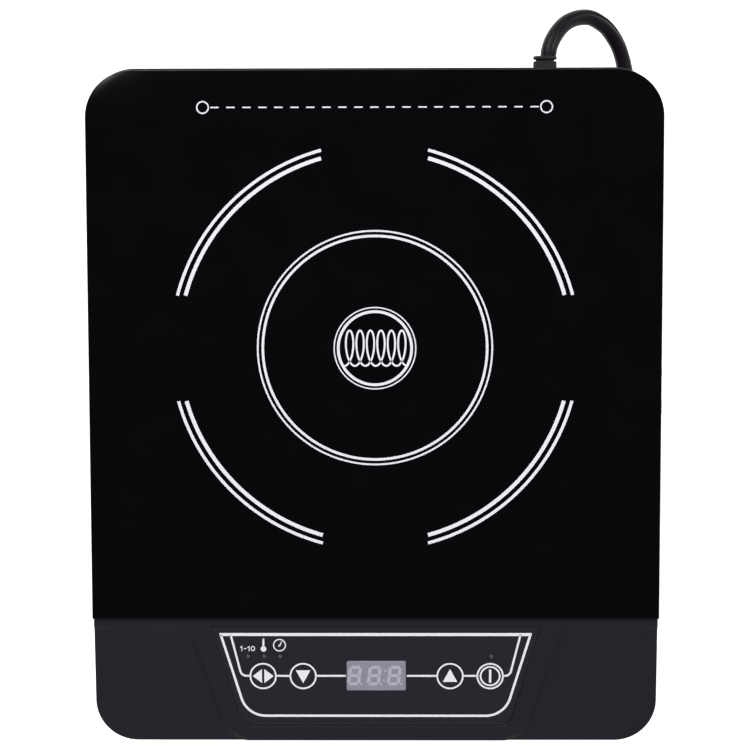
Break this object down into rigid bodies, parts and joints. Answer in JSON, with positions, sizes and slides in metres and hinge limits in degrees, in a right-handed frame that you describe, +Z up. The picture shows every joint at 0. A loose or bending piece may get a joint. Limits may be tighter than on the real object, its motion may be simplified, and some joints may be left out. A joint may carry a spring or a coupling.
{
  "type": "electric induction cooktop",
  "caption": "Flat free-standing induction cooktop with a black glass top, one round cooking zone, a sloping key panel with display, and a mains lead at the rear.",
  "frame": {"origin": "centre of the case on the floor that the feet stand on", "axes": "+Z up, +Y towards the rear where the lead leaves, +X to the right as seen from the key panel"},
  "size_m": [0.2955, 0.3753, 0.062],
  "materials": {
    "glass": "polished black",
    "case_plastic": "fine grain, dark grey",
    "film": "satin printed film",
    "key_plastic": "satin",
    "rubber": "matte black",
    "window": "smoked clear",
    "light": "clear, unlit",
    "board": "green lacquer",
    "dark_plastic": "moulded",
    "pale_plastic": "moulded, heat proof",
    "copper": "enamelled copper strands",
    "ferrite": "pressed and fired",
    "mica": "pressed flakes",
    "aluminium": "extruded",
    "steel": "zinc plated",
    "brass": "bare",
    "capacitor_case": "moulded"
  },
  "bodies": {
    "base": {"glass_plate": "glass", "glass_seal": "rubber", "top_housing": "case_plastic", "bottom_housing": "case_plastic", "control_film": "film", "display_window": "window", "led_display": "dark_plastic", "control_board": "board", "mode_switch": "dark_plastic", "down_switch": "dark_plastic", "up_switch": "dark_plastic", "power_switch": "dark_plastic", "mode_light_1": "light", "mode_light_2": "light", "mode_light_3": "light", "power_light": "light", "coil_carrier": "pale_plastic", "induction_coil": "copper", "ferrite_bar_1": "ferrite", "ferrite_bar_2": "ferrite", "ferrite_bar_3": "ferrite", "ferrite_bar_4": "ferrite", "mica_sheet": "mica", "thermistor_holder": "rubber", "fan_frame": "dark_plastic", "main_board": "board", "heat_sink": "aluminium", "power_transistor": "dark_plastic", "bridge_rectifier": "dark_plastic", "filter_choke": "copper", "filter_capacitor": "capacitor_case", "resonance_capacitor": "capacitor_case", "buzzer": "dark_plastic", "foot_front_left": "rubber", "foot_front_right": "rubber", "foot_rear_left": "rubber", "foot_rear_right": "rubber", "case_screw_front_left": "steel", "case_screw_front_right": "steel", "case_screw_rear_left": "steel", "case_screw_rear_right": "steel", "cord_grommet": "rubber", "inner_lead": "rubber", "cord_clamp": "pale_plastic", "power_cord": "rubber", "cord_coil": "rubber", "cord_tie": "steel", "plug_body": "rubber", "line_blade": "brass", "neutral_blade": "brass", "earth_pin": "brass"},
    "fan": {"fan_rotor": "pale_plastic"},
    "mode_button": {"mode_key": "key_plastic", "mode_plunger": "pale_plastic"},
    "down_button": {"down_key": "key_plastic", "down_plunger": "pale_plastic"},
    "up_button": {"up_key": "key_plastic", "up_plunger": "pale_plastic"},
    "power_button": {"power_key": "key_plastic", "power_plunger": "pale_plastic"}
  },
  "joints": [
    {"name": "fan_spin", "type": "hinge", "parent": "base", "child": "fan", "pos_m": [-0.0735, 0.03205, 0.02], "axis": [0, 0, 1], "continuous": true},
    {"name": "mode_press", "type": "slide", "parent": "base", "child": "mode_button", "axis": [0, 0.0698, -0.9976], "range_m": [0, 0.0004], "stiffness_N_per_m": 2500},
    {"name": "down_press", "type": "slide", "parent": "base", "child": "down_button", "axis": [0, 0.0698, -0.9976], "range_m": [0, 0.0004], "stiffness_N_per_m": 2500},
    {"name": "up_press", "type": "slide", "parent": "base", "child": "up_button", "axis": [0, 0.0698, -0.9976], "range_m": [0, 0.0004], "stiffness_N_per_m": 2500},
    {"name": "power_press", "type": "slide", "parent": "base", "child": "power_button", "axis": [0, 0.0698, -0.9976], "range_m": [0, 0.0004], "stiffness_N_per_m": 2500}
  ]
}
